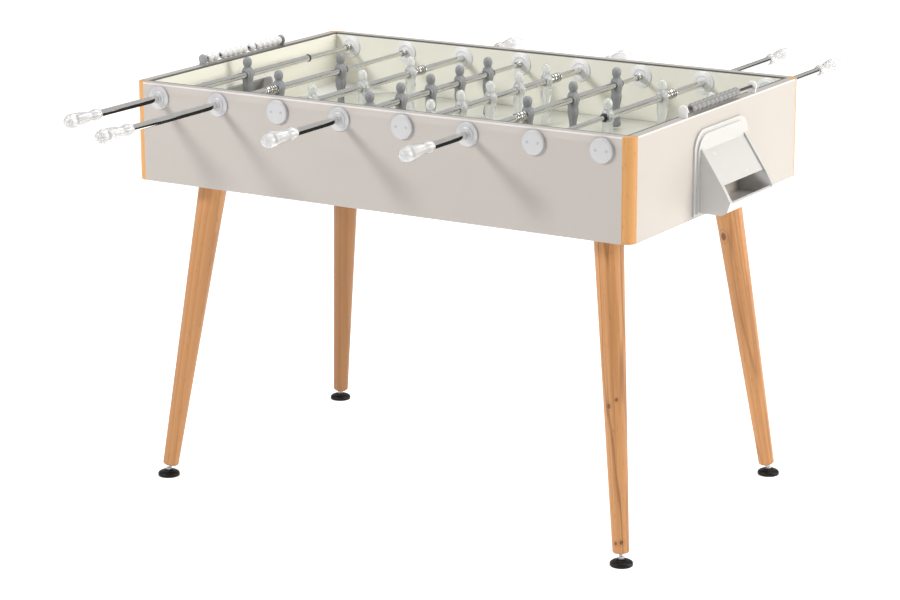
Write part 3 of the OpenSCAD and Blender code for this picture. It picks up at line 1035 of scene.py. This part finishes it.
def build_man(name, material):
    """A plain mannequin-like player on the origin, with the rod along Y."""
    bm = bmesh.new()
    loft(bm, BODY, 40, 0.64, 18.2, -91.9, creased=True)
    loft(bm, HEAD, 20, 1.0, 12.6, 38.0)
    body = from_bmesh(bm, name, [material], 60.0)
    smooth = body.modifiers.new("smooth", "SUBSURF")
    smooth.levels = smooth.render_levels = 2
    settle(body)
    parts = [(body.data, Matrix(), 0), (build_hub(), Matrix(), 0)]
    whole = merged(name, parts, [material], 40.0)
    bpy.data.objects.remove(body)
    return whole


def build_men(n, man, material):
    """A rod's men, evenly spaced along it."""
    low, high = box_of(f"rod_{n}_men")
    count = MEN_ON[n]
    centre = Vector(JOINTS[f"turn_rod_{n}"]["pos_m"])
    start = (centre.x, low.y + HUB_HALF, centre.z)
    step = (high.y - low.y - 2 * HUB_HALF) / max(1, count - 1)
    mesh = row_of(man, count, start, (0, step, 0), material, f"men_{n}")
    piece = finish_mesh(mesh, f"men_{n}", [material], 40.0)
    return place(piece, f"rod_{n}", f"rod_{n}_men")


# ---------------------------------------------------------------- scorers

BEAD_LENGTH = 0.0188
BEAD_STEP = 0.0191
BEAD_END = [(3.3, 0), (6.4, 0, 0.6), (7.2, 1.6, 1.2), (9.2, 5.2, 2.4)]
# each scorer's side, the places of its two brackets and their material
SCORERS = ((-1, (-0.149, 0.146), 1), (1, (-0.142, 0.167), 2))
SCORER_ROD_R = 0.003
DISC = mm([
    (0, -2.5), (8.6, -2.5, 0.5), (9.4, -1.9, 0.8), (11.0, -1.5, 1.2), (11.0, 1.5, 1.2),
    (9.4, 1.9, 0.8), (8.6, 2.5, 0.5), (3.05, 2.5), (3.05, -1.2), (0, -1.2),
])


def bead_mesh(name, material):
    """One bead with a flared groove at each end, its bore along Y from the origin."""
    length = BEAD_LENGTH / MM
    far_end = [(r, length - z, *corner) for r, z, *corner in reversed(BEAD_END)]
    profile = mm([*BEAD_END, (9.5, length / 2, 6), *far_end])
    bm = bmesh.new()
    lathe(bm, rounded(profile), Matrix.Rotation(math.radians(-90), 4, "X"), 40, closed=True)
    return from_bmesh(bm, name, [material], 40.0)


def build_beads(node, bead, material):
    """A run of beads that slide together."""
    low, high = box_of(node)
    count = round((high.y - low.y - BEAD_LENGTH) / BEAD_STEP) + 1
    centre = (low + high) / 2
    start = (centre.x, low.y, centre.z)
    mesh = row_of(bead, count, start, (0, BEAD_STEP, 0), material, node + "_row")
    piece = finish_mesh(mesh, node + "_row", [material], 40.0)
    return place(piece, node, node)


def build_scorers():
    """The two bead rods, each between brackets with a round head."""
    top = box_of("rim_trim")[1].z
    beads_low, beads_high = box_of("beads_right")
    axis = (beads_low + beads_high) / 2
    turn = Matrix.Rotation(math.radians(-90), 4, "X")
    bm = bmesh.new()
    for side, ends, material in SCORERS:
        x = side * axis.x
        start, stop = ends[0] - 0.001, ends[1] + 0.001
        edge = 0.0004
        rod = [
            (0, start),
            (SCORER_ROD_R - edge, start),
            (SCORER_ROD_R, start + edge),
            (SCORER_ROD_R, stop - edge),
            (SCORER_ROD_R - edge, stop),
            (0, stop),
        ]
        lathe(bm, rod, Matrix.Translation((x, 0, axis.z)) @ turn, 24)
        for y in ends:
            facing = Matrix.Rotation(math.pi, 4, "X") if y > 0 else Matrix()
            head = Matrix.Translation((x, y, axis.z)) @ turn @ facing
            lathe(bm, rounded(DISC, 3), head, 40, material)
            post = (0.0085, 0.0019, axis.z - 0.004 - top)
            foot = (0.009, 0.0025, 0.0022)
            for wide, thick, height in (post, foot):
                corners = (x - wide, y - thick, top), (x + wide, y + thick, top + height)
                box_mesh(bm, *corners, material)
    piece = from_bmesh(bm, "scorer_rods", [BLACK, BRACKET, BRACKET_PALE], 35.0)
    return place(piece, "table", "score_rails")


# ---------------------------------------------------------------- moulded shells

def rounded_copy(node, name, materials, width):
    """A CAD node's own shape with its sharp edges rounded."""
    angle = 30.0
    bm = bmesh.new()
    bm.from_mesh(frame["nodes"][node].data)
    bmesh.ops.remove_doubles(bm, verts=bm.verts, dist=1e-6)
    bmesh.ops.dissolve_limit(
        bm, angle_limit=math.radians(1.0), verts=bm.verts, edges=bm.edges
    )
    for face in bm.faces:
        face.material_index = 0
    piece = from_bmesh(bm, name, materials, angle, outward=False)
    return soften(piece, width, angle)


# ---------------------------------------------------------------- feet

PAD = mm([
    (0, 0), (22.3, 0, 0.8), (23.5, 1.2, 1.0), (23.5, 6.2, 1.2), (22.0, 8.6, 1.6),
    (16.5, 11.6, 2.0), (10.5, 12.6, 1.2), (8.8, 14.0, 0.8), (0, 14.0),
])
NUT = mm([(0, 13.6), (6.4, 13.6), (6.8, 14.2), (6.8, 17.6), (6.2, 18.2), (0, 18.2)])
STUD = mm([(0, 15), (3.5, 15), (3.5, 57.4), (3.1, 57.8), (0, 57.8)])
THREAD_START = 0.0185


def build_foot(corner):
    """A rubber pad with its hexagon nut and the threaded stud that goes up the leg."""
    sx, sy = FEET[corner]
    axis = -Vector(JOINTS["level_" + corner]["axis"])
    base = Matrix.Translation((FOOT_CENTRE.x * sx, FOOT_CENTRE.y * sy, 0))
    stud = base @ Vector((0, 0, 1)).rotation_difference(axis).to_matrix().to_4x4()
    bm = bmesh.new()
    lathe(bm, rounded(PAD), base, 56)
    lathe(bm, NUT, base, 6, 1)
    lathe(bm, STUD, stud, 24, 1)
    bmesh.ops.recalc_face_normals(bm, faces=bm.faces)
    pad = as_mesh(bm, "pad")
    thread = COIL.run(
        "thread", Turns=28.0, Radius=0.0034, Wire=0.0005, Length=0.035, Material=ZINC
    )
    parts = [(pad, Matrix(), None), (thread, stud @ shift_z(THREAD_START), 1)]
    piece = merged("foot_" + corner + "_pad", parts, [RUBBER, ZINC], 40.0)
    return place(piece, "foot_" + corner, "foot_" + corner)


# ---------------------------------------------------------------- screws

SCREW = mm([
    (0, -2.4), (1.8, -2.3), (3.6, -1.5), (4.4, -0.3), (4.5, 0), (2.4, 0), (2.4, 5), (0, 5),
])
SCREW_HEAD_R = 0.0045
SCREWS_APART = 0.088
LEG_PLATE_T = 0.005


def build_screws():
    """Dome-headed screws with a cross in the head, four under each leg plate."""
    bm = bmesh.new()
    lathe(bm, SCREW, Matrix(), 24)
    long, short = 0.0035, 0.0005
    for x, y in ((long, short), (short, long)):
        box_mesh(bm, (-x, -y, -0.00252), (x, y, -0.0022))
    screw = from_bmesh(bm, "screw", [ZINC], 35.0)
    _, high = box_of("fasteners")
    plate_z = box_of("leg_plates")[1].z - LEG_PLATE_T
    half = SCREWS_APART / 2
    plate_x = high.x - SCREW_HEAD_R - half
    plate_y = high.y - SCREW_HEAD_R - half
    step = (0, SCREWS_APART, 0)
    parts = []
    for sx, sy in FEET.values():
        for side in (-1, 1):
            start = (plate_x * sx + side * half, plate_y * sy - half, plate_z)
            parts.append((row_of(screw, 2, start, step, ZINC, "screws"), Matrix(), 0))
    piece = merged("plate_screws", parts, [ZINC], 35.0)
    bpy.data.objects.remove(screw)
    return place(piece, "table", "fasteners")


# ---------------------------------------------------------------- assembly

build_rim()
build_bearings()
grey_man = build_man("grey_man", GREY_MAN)
clear_man = build_man("clear_man", CLEAR_MAN)
for n in RODS:
    build_inner_rod(n)
    build_tube(n)
    build_handle(n)
    if hand(n) < 0:
        build_men(n, grey_man, GREY_MAN)
    else:
        build_men(n, clear_man, CLEAR_MAN)
white_bead = bead_mesh("white_bead", WHITE_BEAD)
dark_bead = bead_mesh("dark_bead", DARK_BEAD)
for k in range(1, 5):
    build_beads(f"beads_left_{k}", white_bead, WHITE_BEAD)
build_beads("beads_right", dark_bead, DARK_BEAD)
for spare in (grey_man, clear_man, white_bead, dark_bead):
    bpy.data.objects.remove(spare)
build_scorers()
place(
    rounded_copy("ball_boxes", "ball_box_shells", [BOX], 0.0016),
    "table",
    "ball_boxes",
)
place(
    rounded_copy("goal_liners", "goal_mouths", [GOAL], 0.0006),
    "table",
    "goal_liners",
)
for corner in FEET:
    build_foot(corner)
build_screws()


# ---------------------------------------------------------------- stage

TABLE_MIDDLE = Vector((0, 0, 0.75))
FLOOR_TONE = 0.92
FLOOR_GLOW_NEAR, FLOOR_GLOW_FAR = 0.515, 0.95
WORLD_LIT, WORLD_SEEN, GLOSSY_SHARE = 0.43, 1.0, 0.25


def area_light(name, place_at, size, power, colour=(1, 1, 1)):
    """A soft panel aimed at the middle of the table."""
    data = bpy.data.lights.new(name, "AREA")
    data.shape = "SQUARE"
    data.size = size
    data.energy = power
    data.color = colour
    light = bpy.data.objects.new(name, data)
    light.location = place_at
    light.rotation_mode = "QUATERNION"
    aim = TABLE_MIDDLE - Vector(place_at)
    light.rotation_quaternion = aim.to_track_quat("-Z", "Y")
    bpy.context.scene.collection.objects.link(light)


def upright_flag(name, y, x_range, z_range):
    """A black card that only reflections see, for the dark lines on the rods."""
    x0, x1 = x_range
    z0, z1 = z_range
    bm = bmesh.new()
    bm.faces.new([bm.verts.new((x, y, z)) for x, z in ((x0, z0), (x1, z0), (x1, z1), (x0, z1))])
    black = Paint("flag_black", Roughness=1.0)
    black.set(Base_Color=speckle(black, (0.01, 0.01, 0.01), 0.1, 2.0))
    card = from_bmesh(bm, name, [black.material], outward=False)
    card.visible_camera = False
    card.visible_diffuse = False
    card.visible_transmission = False
    card.visible_shadow = False


def build_floor():
    """A plain pale floor that glows softly, more so in the distance."""
    half = 14.0
    bm = bmesh.new()
    ring = ((-half, -half), (half, -half), (half, half), (-half, half))
    bm.faces.new([bm.verts.new((x, y, 0)) for x, y in ring])
    floor = Paint("floor", Roughness=0.9, Emission_Strength=1.0)
    x, y, _ = floor.parts(floor.place())
    distance = (x * x + y * y).ramp(10.0, 60.0)
    floor.set(
        Base_Color=speckle(floor, (FLOOR_TONE,) * 3, 0.01, 2.0),
        Emission_Color=floor.blend(distance, (FLOOR_GLOW_NEAR,) * 3, (FLOOR_GLOW_FAR,) * 3),
    )
    from_bmesh(bm, "floor", [floor.material], outward=False)


def build_world():
    """White all round: dim as light, brighter in reflections, full behind the table."""
    world = bpy.data.worlds.new("studio")
    world.use_nodes = True
    nodes, links = world.node_tree.nodes, world.node_tree.links
    lit = nodes["Background"]
    seen = nodes.new("ShaderNodeBackground")
    for background, strength in ((lit, WORLD_LIT), (seen, WORLD_SEEN)):
        background.inputs["Color"].default_value = (1, 1, 1, 1)
        background.inputs["Strength"].default_value = strength
    path = nodes.new("ShaderNodeLightPath")
    share = nodes.new("ShaderNodeMath")
    share.operation = "MULTIPLY_ADD"
    share.use_clamp = True
    share.inputs[1].default_value = GLOSSY_SHARE
    mix = nodes.new("ShaderNodeMixShader")
    links.new(path.outputs["Is Glossy Ray"], share.inputs[0])
    links.new(path.outputs["Is Camera Ray"], share.inputs[2])
    links.new(share.outputs[0], mix.inputs[0])
    links.new(lit.outputs[0], mix.inputs[1])
    links.new(seen.outputs[0], mix.inputs[2])
    links.new(mix.outputs[0], nodes["World Output"].inputs["Surface"])
    bpy.context.scene.world = world


def build_stage():
    build_floor()
    build_world()
    area_light("right_softbox", (3.8, 1.4, 2.0), 2.0, 131, (1.0, 0.97, 0.90))
    area_light("left_front_softbox", (-2.2, -4.0, 2.8), 0.8, 123)
    area_light("overhead_softbox", (0.3, 0.8, 4.2), 3.0, 108)
    wall_low, wall_high = box_of("near_side")
    over_rods = JOINTS["turn_rod_1"]["pos_m"][2] + 0.012
    near_y = wall_low.y - 0.0012
    upright_flag("near_flag", near_y, (wall_low.x, wall_high.x), (wall_low.z, over_rods))
    upright_flag("far_flag", 1.2, (wall_low.x, 2.0), (0.895, 1.06))


build_stage()
scene = bpy.context.scene
scene.view_settings.view_transform = "Standard"
